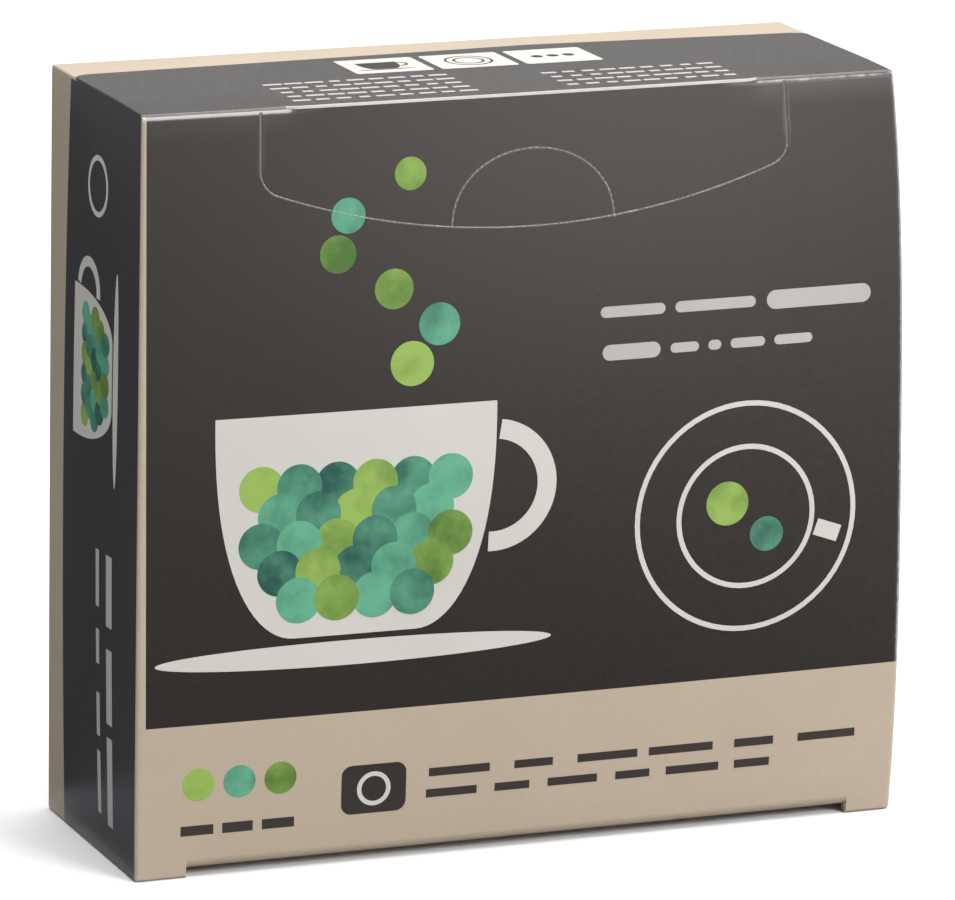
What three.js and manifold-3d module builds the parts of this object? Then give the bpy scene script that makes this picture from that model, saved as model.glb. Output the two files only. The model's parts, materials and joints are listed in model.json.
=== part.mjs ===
// A closed folding carton of coated board, made as the sealed pack that it is: one solid.
// Millimetres, +Z up. The front panel faces -Y, and the origin is at the middle of the base.
import * as THREE from 'three';
import { ConvexGeometry } from 'three/addons/geometries/ConvexGeometry.js';
import { mergeVertices } from 'three/addons/utils/BufferGeometryUtils.js';
import Module from 'manifold-3d';

// Outer size half way up, and how the filled carton has spread from a true box
const WIDTH = 120;
const DEPTH = 44.1;
const HEIGHT = 115.5;
const WIDTH_TAPER = 2.8; // the foot is this much wider than the head
const DEPTH_FLARE = 0.9; // the head is this much deeper than the foot
const PANEL_BOW = 1.4; // swelling of the front and the back
const SIDE_BOW = 1.0; // swelling of the two sides
const FOLD_BOW = 2.1; // how far the right-hand folds have moved out half way up

// Board and creases
const BOARD = 0.45;
const FOLD_RADIUS = 0.8;

// Top sheet: hinged on the back, with cut edges on its other three sides
const SHEET_SETBACK = 0.25; // from the side panels to the sheet's cut ends
const SHEET_LEDGE = 0.9; // from the front panel's folds to the sheet's front corners

// Tear-open panel in the front: a crescent below the sheet's front edge, with a thumb tab in it
const TEAR_WIDTH = 84.4;
const TEAR_DEPTH = 20; // from the top of the carton to the lowest point of the crescent
const TEAR_ARC_RADIUS = 118;
const TEAR_CORNER_RADIUS = 4;
const THUMB_WIDTH = 25.8;
const THUMB_HEIGHT = 11;
const THUMB_SHIFT = 0.8; // from the middle of the crescent to the middle of the tab
const SCORE_RADIUS = 0.22; // half-round groove of the cut and nicked lines

// Head cut: between its slanted ends the front panel ends in a plain cut instead of a fold
const HEAD_CUT_WIDTH = 76;
const HEAD_CUT_SLANT = 1.8;

// Foot: between two corner tabs the front fold sits higher, and the base sheet stops short of it
const TAB_WIDTH = 7.7;
const FOOT_RISE = 1.25;
const FOOT_FOLD_RADIUS = 1.6;
const BASE_SETBACK = 5;

// Facets
const FOLD_STEPS = 3; // from a panel to the middle of its fold
const WIDTH_STEPS = 12;
const DEPTH_STEPS = 6;
const HEIGHT_STEPS = 12;
const TEAR_STEPS = 64;
const THUMB_STEPS = 28;
const SCORE_STEPS = 3; // sides of half a score's section
const OVERCUT = 2; // how far a cutter reaches past what it cuts

const FOOT_WIDTH = WIDTH + WIDTH_TAPER / 2;
const HEAD_WIDTH = WIDTH - WIDTH_TAPER / 2;
const FOOT_DEPTH = DEPTH - DEPTH_FLARE / 2;
const HEAD_DEPTH = DEPTH + DEPTH_FLARE / 2;

const wasm = await Module();
wasm.setup();

// A closed three.js geometry as a solid that can be joined and cut
function solidOf(geometry) {
  const bare = geometry.clone();
  bare.deleteAttribute('normal');
  bare.deleteAttribute('uv');
  const closed = mergeVertices(bare);
  return new wasm.Manifold(new wasm.Mesh({
    numProp: 3,
    vertProperties: Float32Array.from(closed.attributes.position.array),
    triVerts: Uint32Array.from(closed.index.array),
  }));
}

// A joined and cut solid as a three.js geometry
function geometryOf(solid) {
  const mesh = solid.getMesh();
  const geometry = new THREE.BufferGeometry();
  geometry.setAttribute('position', new THREE.BufferAttribute(mesh.vertProperties, 3));
  geometry.setIndex(new THREE.BufferAttribute(mesh.triVerts, 1));
  geometry.computeVertexNormals();
  return geometry;
}

// Share of a bow at a place from -1 to 1 across a panel: none at the folds, all in the middle
function arch(place, power) {
  return 1 - Math.abs(place) ** power;
}

// Takes a point of the straight box, whose plan is the foot's, to the spread and swollen carton
function spread(point) {
  const rise = point.z / HEIGHT;
  const across = point.x / (FOOT_WIDTH / 2);
  const along = point.y / (FOOT_DEPTH / 2);
  const lift = arch(2 * rise - 1, 2);
  const rightward = ((1 + across) / 2) ** 2 * arch(2 * rise - 1, 3);
  const x = point.x * THREE.MathUtils.lerp(1, HEAD_WIDTH / FOOT_WIDTH, rise)
    + SIDE_BOW * across * arch(along, 2) * lift
    + FOLD_BOW * rightward;
  const y = point.y * THREE.MathUtils.lerp(1, HEAD_DEPTH / FOOT_DEPTH, rise)
    + PANEL_BOW * along * arch(across, 2) * lift;
  return new THREE.Vector3(x, y, point.z);
}

// Place of a grid line along one edge of the box: closer lines round the folds, even ones between
function gridPlace(share, half, panelSteps) {
  const steps = panelSteps + 2 * FOLD_STEPS;
  const line = Math.round((share + 1) / 2 * steps);
  const fromEnd = Math.min(line, steps - line);
  const inner = half - FOLD_RADIUS;
  if (fromEnd >= FOLD_STEPS) {
    return inner * (2 * (line - FOLD_STEPS) / panelSteps - 1);
  }
  const turn = Math.PI / 4 * (1 - fromEnd / FOLD_STEPS);
  return Math.sign(share) * (inner + FOLD_RADIUS * Math.tan(turn));
}

// The folded panels: a box with rounded creases, spread and swollen
function makeBody() {
  const half = new THREE.Vector3(FOOT_WIDTH, FOOT_DEPTH, HEIGHT).divideScalar(2);
  const inner = half.clone().subScalar(FOLD_RADIUS);
  const geometry = new THREE.BoxGeometry(
    2, 2, 2,
    WIDTH_STEPS + 2 * FOLD_STEPS,
    DEPTH_STEPS + 2 * FOLD_STEPS,
    HEIGHT_STEPS + 2 * FOLD_STEPS,
  );
  const places = geometry.attributes.position;
  for (let index = 0; index < places.count; index += 1) {
    const square = new THREE.Vector3(
      gridPlace(places.getX(index), half.x, WIDTH_STEPS),
      gridPlace(places.getY(index), half.y, DEPTH_STEPS),
      gridPlace(places.getZ(index), half.z, HEIGHT_STEPS),
    );
    const core = square.clone().clamp(inner.clone().negate(), inner);
    const rounded = square.sub(core).setLength(FOLD_RADIUS).add(core);
    rounded.z += half.z;
    const placed = spread(rounded);
    places.setXYZ(index, placed.x, placed.y, placed.z);
  }
  return solidOf(geometry);
}

// The top sheet's board, which fills the crease's rounding with square cut edges on three sides.
// Its front reaches the front panel over the head cut and stops short of the folds beside it.
function makeTopSheet() {
  const half = HEAD_WIDTH / 2 - SHEET_SETBACK;
  const front = -HEAD_DEPTH / 2;
  const back = HEAD_DEPTH / 2 - FOLD_RADIUS;
  const cut = HEAD_CUT_WIDTH / 2;
  const plan = new THREE.Shape();
  plan.moveTo(-half, back);
  plan.lineTo(-half, front + SHEET_LEDGE);
  plan.lineTo(-cut, front + SHEET_LEDGE);
  plan.lineTo(HEAD_CUT_SLANT - cut, front);
  plan.lineTo(cut - HEAD_CUT_SLANT, front);
  plan.lineTo(cut, front + SHEET_LEDGE);
  plan.lineTo(half, front + SHEET_LEDGE);
  plan.lineTo(half, back);
  const geometry = new THREE.ExtrudeGeometry(plan, { depth: BOARD, bevelEnabled: false });
  geometry.translate(0, 0, HEIGHT - BOARD);
  return solidOf(geometry);
}

// The plain cut at the head of the tear-open panel, with slanted ends, below the top sheet
function makeHeadCut() {
  const front = -HEAD_DEPTH / 2;
  const low = HEIGHT - FOLD_RADIUS - BOARD;
  const high = HEIGHT - BOARD / 2;
  const corners = [];
  for (const side of [-1, 1]) {
    for (const y of [front, front + FOLD_RADIUS + BOARD]) {
      corners.push(new THREE.Vector3(side * HEAD_CUT_WIDTH / 2, y, low));
      corners.push(new THREE.Vector3(side * (HEAD_CUT_WIDTH / 2 - HEAD_CUT_SLANT), y, high));
    }
  }
  return solidOf(new ConvexGeometry(corners));
}

// What the raised front fold leaves open at the foot, between the corner tabs
function makeFootGap() {
  const front = -FOOT_DEPTH / 2;
  const profile = new THREE.Shape();
  profile.moveTo(front - OVERCUT, -OVERCUT);
  profile.lineTo(front + BASE_SETBACK, -OVERCUT);
  profile.lineTo(front + BASE_SETBACK, FOOT_RISE);
  profile.lineTo(front + FOOT_FOLD_RADIUS, FOOT_RISE);
  profile.absarc(
    front + FOOT_FOLD_RADIUS, FOOT_RISE + FOOT_FOLD_RADIUS, FOOT_FOLD_RADIUS,
    -Math.PI / 2, -Math.PI, true,
  );
  profile.lineTo(front - OVERCUT, FOOT_RISE + FOOT_FOLD_RADIUS);
  const length = FOOT_WIDTH - 2 * TAB_WIDTH;
  const geometry = new THREE.ExtrudeGeometry(profile, {
    depth: length,
    bevelEnabled: false,
    curveSegments: FOLD_STEPS,
  });
  geometry.translate(0, 0, -length / 2);
  geometry.applyMatrix4(new THREE.Matrix4().makeBasis(
    new THREE.Vector3(0, 1, 0),
    new THREE.Vector3(0, 0, 1),
    new THREE.Vector3(1, 0, 0),
  ));
  return solidOf(geometry);
}

// A line drawn on the flat front panel (x across, y up from the base), laid on the swollen panel
class FrontLine extends THREE.Curve {
  constructor(outline) {
    super();
    this.outline = outline;
  }

  getPoint(share, target = new THREE.Vector3()) {
    const flat = this.outline.getPoint(share);
    return target.copy(spread(new THREE.Vector3(flat.x, -FOOT_DEPTH / 2, flat.y)));
  }
}

// Half-round groove along a line of the front panel
function makeScore(outline, steps) {
  const section = new THREE.Shape();
  section.absarc(0, 0, SCORE_RADIUS, 0, 2 * Math.PI);
  return solidOf(new THREE.ExtrudeGeometry(section, {
    steps,
    extrudePath: new FrontLine(outline),
    bevelEnabled: false,
    curveSegments: SCORE_STEPS,
  }));
}

// Height of the crescent's long arc above its lowest point
function tearArcRise(x) {
  return TEAR_ARC_RADIUS - Math.sqrt(TEAR_ARC_RADIUS ** 2 - x ** 2);
}

// Crescent: down from the head, round a corner, along the long arc and up again
function makeTearLine() {
  const arcCentre = HEIGHT - TEAR_DEPTH + TEAR_ARC_RADIUS;
  const cornerX = TEAR_WIDTH / 2 - TEAR_CORNER_RADIUS;
  const reach = TEAR_ARC_RADIUS - TEAR_CORNER_RADIUS;
  const cornerY = arcCentre - Math.sqrt(reach ** 2 - cornerX ** 2);
  const meet = Math.atan2(cornerY - arcCentre, cornerX);
  const line = new THREE.Path();
  line.moveTo(-TEAR_WIDTH / 2, HEIGHT);
  line.lineTo(-TEAR_WIDTH / 2, cornerY);
  line.absarc(-cornerX, cornerY, TEAR_CORNER_RADIUS, -Math.PI, -Math.PI - meet, false);
  line.absarc(0, arcCentre, TEAR_ARC_RADIUS, -Math.PI - meet, meet, false);
  line.absarc(cornerX, cornerY, TEAR_CORNER_RADIUS, meet, 0, false);
  line.lineTo(TEAR_WIDTH / 2, HEIGHT);
  return makeScore(line, TEAR_STEPS);
}

// Thumb tab: a dome that stands on the crescent's long arc
function makeThumbLine() {
  const foot = HEIGHT - TEAR_DEPTH + tearArcRise(THUMB_WIDTH / 2);
  const line = new THREE.Path();
  line.absellipse(THUMB_SHIFT, foot, THUMB_WIDTH / 2, THUMB_HEIGHT, Math.PI, 0, true);
  return makeScore(line, THUMB_STEPS);
}

const carton = makeBody()
  .add(makeTopSheet())
  .add(makeHeadCut())
  .subtract(makeFootGap())
  .subtract(makeTearLine())
  .subtract(makeThumbLine());

const coatedBoard = new THREE.MeshStandardMaterial({ color: '#413e3e', roughness: 0.5, metalness: 0 });
const mesh = new THREE.Mesh(geometryOf(carton), coatedBoard);
mesh.name = 'carton';

const model = new THREE.Group();
model.add(mesh);

export default model;
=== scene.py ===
"""Looks of a closed folding carton: creased board, cut edges, a tear line and plain printed shapes.

Sizes are in millimetres, as on the carton's drawing, and the meshes are made in metres.
"""

import json
import logging
import math
from dataclasses import dataclass, field, replace
from enum import Enum
from typing import Iterable, Sequence, Union

import bmesh
import bpy
import numpy as np
from mathutils import Matrix, Vector

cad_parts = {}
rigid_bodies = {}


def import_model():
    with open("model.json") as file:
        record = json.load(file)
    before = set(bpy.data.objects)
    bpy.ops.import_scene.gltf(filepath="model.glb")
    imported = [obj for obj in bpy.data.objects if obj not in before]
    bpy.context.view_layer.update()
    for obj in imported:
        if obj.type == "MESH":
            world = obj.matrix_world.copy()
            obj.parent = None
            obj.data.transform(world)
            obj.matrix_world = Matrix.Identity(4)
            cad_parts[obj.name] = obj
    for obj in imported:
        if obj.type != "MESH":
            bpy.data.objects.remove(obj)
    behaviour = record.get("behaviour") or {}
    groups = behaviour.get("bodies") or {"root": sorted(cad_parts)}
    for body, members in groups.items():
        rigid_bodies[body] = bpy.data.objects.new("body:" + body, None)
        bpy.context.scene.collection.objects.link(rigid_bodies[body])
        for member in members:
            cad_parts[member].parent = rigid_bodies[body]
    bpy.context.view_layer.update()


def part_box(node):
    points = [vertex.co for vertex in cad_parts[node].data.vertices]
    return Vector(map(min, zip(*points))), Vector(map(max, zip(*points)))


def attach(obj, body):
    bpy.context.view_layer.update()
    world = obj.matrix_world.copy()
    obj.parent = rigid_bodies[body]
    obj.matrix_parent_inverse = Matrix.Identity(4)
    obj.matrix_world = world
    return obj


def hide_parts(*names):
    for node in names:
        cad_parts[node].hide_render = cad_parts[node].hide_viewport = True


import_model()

LOG = logging.getLogger("carton")
MM = 0.001
NODE = "carton"
BODY = "root"
IMAGE_WIDTH = 955
SENSOR_WIDTH = 36.0
SMOOTH_ANGLE = math.radians(32)

Colour = tuple[float, float, float, float]
Flat = tuple[float, float]


def srgb(red: int, green: int, blue: int) -> Colour:
    """Turns a screen colour into the linear one that shaders take.

    Args:
        red, green, blue: The colour as the eye reads it, from 0 to 255.

    Returns:
        The linear colour with full alpha.
    """
    linear = []
    for channel in (red, green, blue):
        share = channel / 255
        linear.append(share / 12.92 if share <= 0.04045 else ((share + 0.055) / 1.055) ** 2.4)
    return (linear[0], linear[1], linear[2], 1.0)


def toned(colour: Colour, share: float) -> Colour:
    """Returns a colour made lighter or darker by a share."""
    return (colour[0] * share, colour[1] * share, colour[2] * share, 1.0)


class Slot(Enum):
    """The record's material slots."""

    CHARCOAL = "charcoal_board"
    BEIGE = "beige_board"
    RAW = "raw_board"
    PALE = "pale_print"
    DARK = "dark_print"
    GREEN = "green_print"
    TEAL = "teal_print"


class Shade:
    """A socket of a node tree, on which Python's operators add Math nodes to a material."""

    def __init__(self, tree: "NodeTree", socket: bpy.types.NodeSocket) -> None:
        """Wraps one socket of a tree."""
        self.tree = tree
        self.socket = socket

    def _math(self, operation: str, first: "Operand", second: "Operand", clamp: bool = False) -> "Shade":
        """Adds one Math node.

        Args:
            operation: The Math node's operation.
            first, second: Its two values, each a number or a socket.
            clamp: Whether the result is kept from 0 to 1.

        Returns:
            The node's result.
        """
        settings = {"operation": operation, "use_clamp": clamp}
        return self.tree.add("ShaderNodeMath", settings, {0: first, 1: second})

    def __add__(self, other: "Operand") -> "Shade":
        """Sum."""
        return self._math("ADD", self, other)

    def __radd__(self, other: "Operand") -> "Shade":
        """Sum with a number on the left."""
        return self._math("ADD", other, self)

    def __sub__(self, other: "Operand") -> "Shade":
        """Difference."""
        return self._math("SUBTRACT", self, other)

    def __rsub__(self, other: "Operand") -> "Shade":
        """Difference with a number on the left."""
        return self._math("SUBTRACT", other, self)

    def __mul__(self, other: "Operand") -> "Shade":
        """Product."""
        return self._math("MULTIPLY", self, other)

    def __rmul__(self, other: "Operand") -> "Shade":
        """Product with a number on the left."""
        return self._math("MULTIPLY", other, self)

    def clamped(self) -> "Shade":
        """The value kept from 0 to 1."""
        return self._math("ADD", self, 0.0, clamp=True)


Operand = Union[Shade, float]
SocketValue = Union[Shade, float, Colour]


class NodeTree:
    """The nodes of a material, of the world or of a Geometry Nodes recipe."""

    def __init__(self, tree: bpy.types.NodeTree) -> None:
        """Empties the tree."""
        self.tree = tree
        tree.nodes.clear()

    def add(
        self,
        kind: str,
        settings: dict[str, object] | None = None,
        inputs: dict[str | int, object] | None = None,
        output: str | int = 0,
    ) -> Shade:
        """Adds a node of any kind.

        Args:
            kind: The node's type.
            settings: Its own settings, set before its sockets.
            inputs: Values or links for its sockets, by name or place.
            output: The output socket that is wanted.

        Returns:
            That output, or the first input of a node that has none.
        """
        node = self.tree.nodes.new(kind)
        for key, value in (settings or {}).items():
            setattr(node, key, value)
        for key, value in (inputs or {}).items():
            if isinstance(value, Shade):
                self.tree.links.new(value.socket, node.inputs[key])
            else:
                node.inputs[key].default_value = value
        return Shade(self, node.outputs[output] if node.outputs else node.inputs[0])


class ShaderTree(NodeTree):
    """The nodes of one material or of the world."""

    def __init__(self, owner: bpy.types.Material | bpy.types.World) -> None:
        """Empties the owner's tree."""
        self.owner = owner
        owner.use_nodes = True
        super().__init__(owner.node_tree)

    @classmethod
    def of_material(cls, name: str) -> "ShaderTree":
        """A new material's tree."""
        return cls(bpy.data.materials.new(name))

    def place(self) -> Shade:
        """The point on the piece, in metres."""
        return self.add("ShaderNodeTexCoord", output="Object")

    def noise(self, size_mm: float, detail: float = 2.0, stretch: Sequence[float] = (1, 1, 1)) -> Shade:
        """Adds soft noise that is fixed to the piece.

        Args:
            size_mm: The size of its patches.
            detail: Its finer octaves.
            stretch: How much denser it is along each axis.

        Returns:
            The noise, from 0 to 1.
        """
        scale = tuple(share / (size_mm * MM) for share in stretch)
        mapped = self.add("ShaderNodeMapping", inputs={"Vector": self.place(), "Scale": scale})
        inputs = {"Vector": mapped, "Scale": 1.0, "Detail": detail}
        return self.add("ShaderNodeTexNoise", inputs=inputs, output=0)

    def seen(self) -> Shade:
        """1 on the rays that show a background: the eye's, reflected and passing ones."""
        kinds = ("Is Camera Ray", "Is Glossy Ray", "Is Transmission Ray")
        eye, glossy, passing = (self.add("ShaderNodeLightPath", output=kind) for kind in kinds)
        return (eye + glossy + passing).clamped()

    def mask(self, name: str) -> Shade:
        """A mask that the mesh carries as an attribute."""
        return self.add("ShaderNodeAttribute", {"attribute_name": name}, output="Fac")

    def mix(self, share: Operand, first: SocketValue, second: SocketValue) -> Shade:
        """Mixes two colours.

        Args:
            share: How much of the second colour there is.
            first, second: The colours.

        Returns:
            The mixed colour.
        """
        inputs = {0: share, 6: first, 7: second}
        return self.add("ShaderNodeMix", {"data_type": "RGBA"}, inputs, output=2)

    def bump(self, height: Shade, depth_mm: float, strength: float) -> Shade:
        """A normal that follows a height.

        Args:
            height: The relief, from 0 to 1.
            depth_mm: How deep it is.
            strength: How much of it shows.

        Returns:
            The normal.
        """
        inputs = {"Height": height, "Distance": depth_mm * MM, "Strength": strength}
        return self.add("ShaderNodeBump", inputs=inputs)

    def surface(self, inputs: dict[str | int, SocketValue]) -> bpy.types.Material:
        """Ends the tree in a Principled shader.

        Args:
            inputs: The shader's sockets.

        Returns:
            The finished material.
        """
        shader = self.add("ShaderNodeBsdfPrincipled", inputs=inputs)
        self.add("ShaderNodeOutputMaterial", inputs={"Surface": shader})
        return self.owner


@dataclass(frozen=True)
class CoatedBoard:
    """Printed and varnished carton board, which pales along its creases: partly ink that the crease has
    cracked and worn, partly a painted highlight on the rounded folds.
    """

    name: str
    ink: Colour
    core: Colour
    roughness: float
    gloss: float
    wear_and_highlight: float
    cloud_mm: float = 17.0
    grain_mm: float = 0.8
    peel_mm: float = 2.2
    peel_depth_mm: float = 0.012
    flake_mm: float = 1.3
    tone_swing: float = 0.1
    sheen_swing: float = 0.12
    crack_start: float = 1.15
    crack_gain: float = 3.2
    crack_paling: float = 0.6
    crack_dulling: float = 0.15
    rub_and_highlight_paling: float = 0.22

    def material(self) -> bpy.types.Material:
        """Builds the finish.

        Returns:
            The board's material.
        """
        tree = ShaderTree.of_material(self.name)
        cloud = tree.noise(self.cloud_mm, 2.0)
        grain = tree.noise(self.grain_mm, 3.0)
        tone = (0.55 * cloud + 0.45 * grain).clamped()
        deep, light = (toned(self.ink, 1 + way * self.tone_swing) for way in (-1, 1))
        printed = tree.mix(tone, deep, light)
        # The crease mask pales the ink: the flake pattern is cracked ink, and the paling along the folds is
        # also a painted highlight where they face the light.
        crease = tree.mask("crease")
        flakes = tree.noise(self.flake_mm, 4.0)
        peel = tree.noise(self.peel_mm, 1.0)
        cracks = crease * 1.1 + flakes * 0.9 - self.crack_start
        worn = (cracks * self.crack_gain * self.wear_and_highlight).clamped()
        rub_and_highlight = (crease * self.rub_and_highlight_paling * self.wear_and_highlight).clamped()
        pale = (worn * self.crack_paling + rub_and_highlight).clamped()
        sheen = self.roughness + self.sheen_swing * (grain - 0.5)
        return tree.surface({
            "Base Color": tree.mix(pale, printed, self.core),
            "Roughness": (sheen + self.crack_dulling * worn).clamped(),
            "Specular IOR Level": self.gloss,
            "Normal": tree.bump(peel, self.peel_depth_mm, 0.3),
        })


@dataclass(frozen=True)
class CutEdge:
    """Bare fibre where the board was cut through."""

    name: str
    fibre: Colour
    shadow: Colour

    def material(self) -> bpy.types.Material:
        """Builds the finish.

        Returns:
            The cut edge's material.
        """
        tree = ShaderTree.of_material(self.name)
        layers = tree.noise(0.35, 3.0, (0.12, 0.4, 1.0))
        tufts = tree.noise(1.8, 2.0)
        tone = (0.7 * layers + 0.5 * tufts - 0.1).clamped()
        return tree.surface({
            "Base Color": tree.mix(tone, self.shadow, self.fibre),
            "Roughness": (0.82 + 0.15 * layers).clamped(),
            "Specular IOR Level": 0.2,
            "Normal": tree.bump(layers, 0.03, 0.5),
        })


@dataclass(frozen=True)
class WashInk:
    """Printed colour with the pools of a loose brush wash, deeper on some shapes than on others."""

    name: str
    slot: Slot
    pale: Colour
    deep: Colour
    pool_mm: float
    roughness: float = 0.5
    pool_gain: float = 1.6
    grain_gain: float = 0.15

    def material(self) -> bpy.types.Material:
        """Builds the finish.

        Returns:
            The ink's material.
        """
        tree = ShaderTree.of_material(self.name)
        pools = tree.noise(self.pool_mm, 3.0)
        grain = tree.noise(0.8, 2.0)
        pooled = self.pool_gain * (pools - 0.5) + tree.mask("wash")
        depth = (pooled + self.grain_gain * (grain - 0.5)).clamped()
        return tree.surface({
            "Base Color": tree.mix(depth, self.pale, self.deep),
            "Roughness": (self.roughness + 0.1 * (grain - 0.5)).clamped(),
            "Specular IOR Level": 0.22,
            "Normal": tree.bump(grain, 0.01, 0.2),
        })


@dataclass(frozen=True)
class StudioPaper:
    """Seamless pale paper, which the eye sees paler than the light that it gives back."""

    name: str
    sheet: Colour
    bounce: Colour

    def material(self) -> bpy.types.Material:
        """Builds the finish.

        Returns:
            The paper's material.
        """
        tree = ShaderTree.of_material(self.name)
        tooth = tree.noise(3.0, 2.0)
        shown = tree.mix(tooth, toned(self.sheet, 0.985), self.sheet)
        return tree.surface({
            "Base Color": tree.mix(tree.seen(), self.bounce, shown),
            "Roughness": 0.9,
            "Specular IOR Level": 0.1,
        })


# Bare board under cracked ink, and also the colour of the painted highlight along the charcoal folds.
WORN_CORE_AND_HIGHLIGHT = srgb(178, 174, 172)
CHARCOAL = CoatedBoard("charcoal_board", srgb(43, 39, 37), WORN_CORE_AND_HIGHLIGHT, 0.3, 0.2, 1.0)
BEIGE = CoatedBoard("beige_board", srgb(184, 168, 148), srgb(206, 196, 180), 0.5, 0.4, 0.5)
RAW = CutEdge("raw_board", srgb(232, 228, 222), srgb(186, 181, 174))
SCORE = CutEdge("score_line", srgb(150, 146, 143), srgb(104, 101, 99))
# A greyed copy of the bare cut edge, which carries painted light and shade: painted shade on the top
# sheet's front edge beside the head cut, and painted light on the walls' top ledge in front of it.
LIT_AND_SHADED_EDGE = CutEdge("lit_and_shaded_edge", srgb(172, 168, 165), srgb(120, 116, 114))
FIBRE = CutEdge("tear_fibre", srgb(210, 206, 201), srgb(136, 132, 128))
PALE = WashInk("pale_print", Slot.PALE, srgb(212, 209, 203), srgb(200, 197, 191), 24.0)
WORDS = WashInk("word_print", Slot.PALE, srgb(188, 184, 182), srgb(176, 172, 170), 16.0)
DARK = WashInk("dark_print", Slot.DARK, srgb(48, 42, 39), srgb(38, 33, 31), 16.0)
GREEN = WashInk("green_print", Slot.GREEN, srgb(146, 180, 84), srgb(70, 110, 36), 5.0, 0.48)
TEAL = WashInk("teal_print", Slot.TEAL, srgb(96, 172, 138), srgb(12, 80, 70), 5.0, 0.48)
PAPER = StudioPaper("studio_paper", srgb(252, 252, 252), srgb(160, 160, 160))
DARK_CARD = StudioPaper("dark_card", srgb(80, 80, 80), srgb(80, 80, 80))
GREY_CARD = StudioPaper("grey_card", srgb(158, 161, 172), srgb(158, 161, 172))
PALE_CARD = StudioPaper("pale_card", srgb(225, 225, 225), srgb(225, 225, 225))


class BoardFace(Enum):
    """What a face of the board shows, as its place in the piece's materials."""

    CHARCOAL = 0
    BEIGE = 1
    RAW = 2
    SCORE = 3
    LIT_AND_SHADED_EDGE = 4


class Panel(Enum):
    """The carton's panels, each drawn flat as it is seen from outside."""

    FRONT = "front"
    LEFT = "left"
    TOP = "top"


class Side(Enum):
    """Where a post of the carton's plan stands, a corner's share running from the first side named."""

    FRONT = "front"
    FRONT_RIGHT = "front_right"
    RIGHT = "right"
    BACK_RIGHT = "back_right"
    BACK = "back"
    BACK_LEFT = "back_left"
    LEFT = "left"
    FRONT_LEFT = "left_front"


class Library:
    """Keeps each finish's material, so that pieces share it."""

    def __init__(self) -> None:
        """Starts with no material made."""
        self._made: dict[str, bpy.types.Material] = {}

    def get(self, finish: "Finish") -> bpy.types.Material:
        """Returns a finish's material, made on first use."""
        if finish.name not in self._made:
            self._made[finish.name] = finish.material()
        return self._made[finish.name]


Finish = Union[CoatedBoard, CutEdge, WashInk, StudioPaper]
LIBRARY = Library()
BOARD_FINISHES = (CHARCOAL, BEIGE, RAW, SCORE, LIT_AND_SHADED_EDGE)


@dataclass
class MeshData:
    """Vertices in metres, faces, and what each of them carries."""

    points: np.ndarray
    faces: list[tuple[int, ...]]
    face_kinds: list[int] = field(default_factory=list)
    masks: dict[str, np.ndarray] = field(default_factory=dict)


def make_piece(name: str, data: MeshData, finishes: Sequence[Finish]) -> bpy.types.Object:
    """Makes a shown piece from mesh data, at the origin.

    Args:
        name: The piece's name.
        data: Its mesh.
        finishes: Its finishes, in the order that face_kinds counts them.

    Returns:
        The piece.
    """
    mesh = bpy.data.meshes.new(name)
    mesh.from_pydata([tuple(point) for point in data.points], [], data.faces)
    for finish in finishes:
        mesh.materials.append(LIBRARY.get(finish))
    if data.face_kinds:
        mesh.polygons.foreach_set("material_index", data.face_kinds)
    for mask, values in data.masks.items():
        layer = mesh.attributes.new(mask, "FLOAT", "POINT")
        layer.data.foreach_set("value", np.asarray(values, np.float32))
    mesh.update()
    piece = bpy.data.objects.new(name, mesh)
    bpy.context.scene.collection.objects.link(piece)
    return piece


def soften(piece: bpy.types.Object) -> None:
    """Shades a piece smooth, apart from its hard edges."""
    piece.data.shade_smooth()
    piece.data.set_sharp_from_angle(angle=SMOOTH_ANGLE)


def settle(piece: bpy.types.Object, slot: Slot) -> bpy.types.Object:
    """Hands a finished piece to the frame.

    Args:
        piece: The piece.
        slot: The record's slot for its finish.

    Returns:
        The piece.
    """
    soften(piece)
    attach(piece, BODY)
    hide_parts(NODE)
    LOG.info("%s: %d faces, %s", piece.name, len(piece.data.polygons), slot.value)
    return piece


def take_result(piece: bpy.types.Object) -> None:
    """Replaces a piece's mesh by what its modifiers make of it, and removes them."""
    depsgraph = bpy.context.evaluated_depsgraph_get()
    mesh = bpy.data.meshes.new_from_object(piece.evaluated_get(depsgraph), depsgraph=depsgraph)
    piece.modifiers.clear()
    piece.data = mesh


def even_lines(low: float, high: float, step: float, marks: Iterable[float] = ()) -> list[float]:
    """Grid lines between two ends, with extra ones at marked places.

    Args:
        low, high: The ends, which are lines too.
        step: The widest gap between lines.
        marks: Places that get a line of their own.

    Returns:
        The lines in rising order.
    """
    count = max(1, math.ceil((high - low) / step))
    lines = {round(low + (high - low) * index / count, 4) for index in range(count + 1)}
    kept = [mark for mark in marks if low < mark < high]
    clear = step * 0.2
    ends = (low, high)
    lines = {line for line in lines if line in ends or all(abs(line - mark) > clear for mark in kept)}
    return sorted(lines | set(kept) | {round(low, 4), round(high, 4)})


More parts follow.
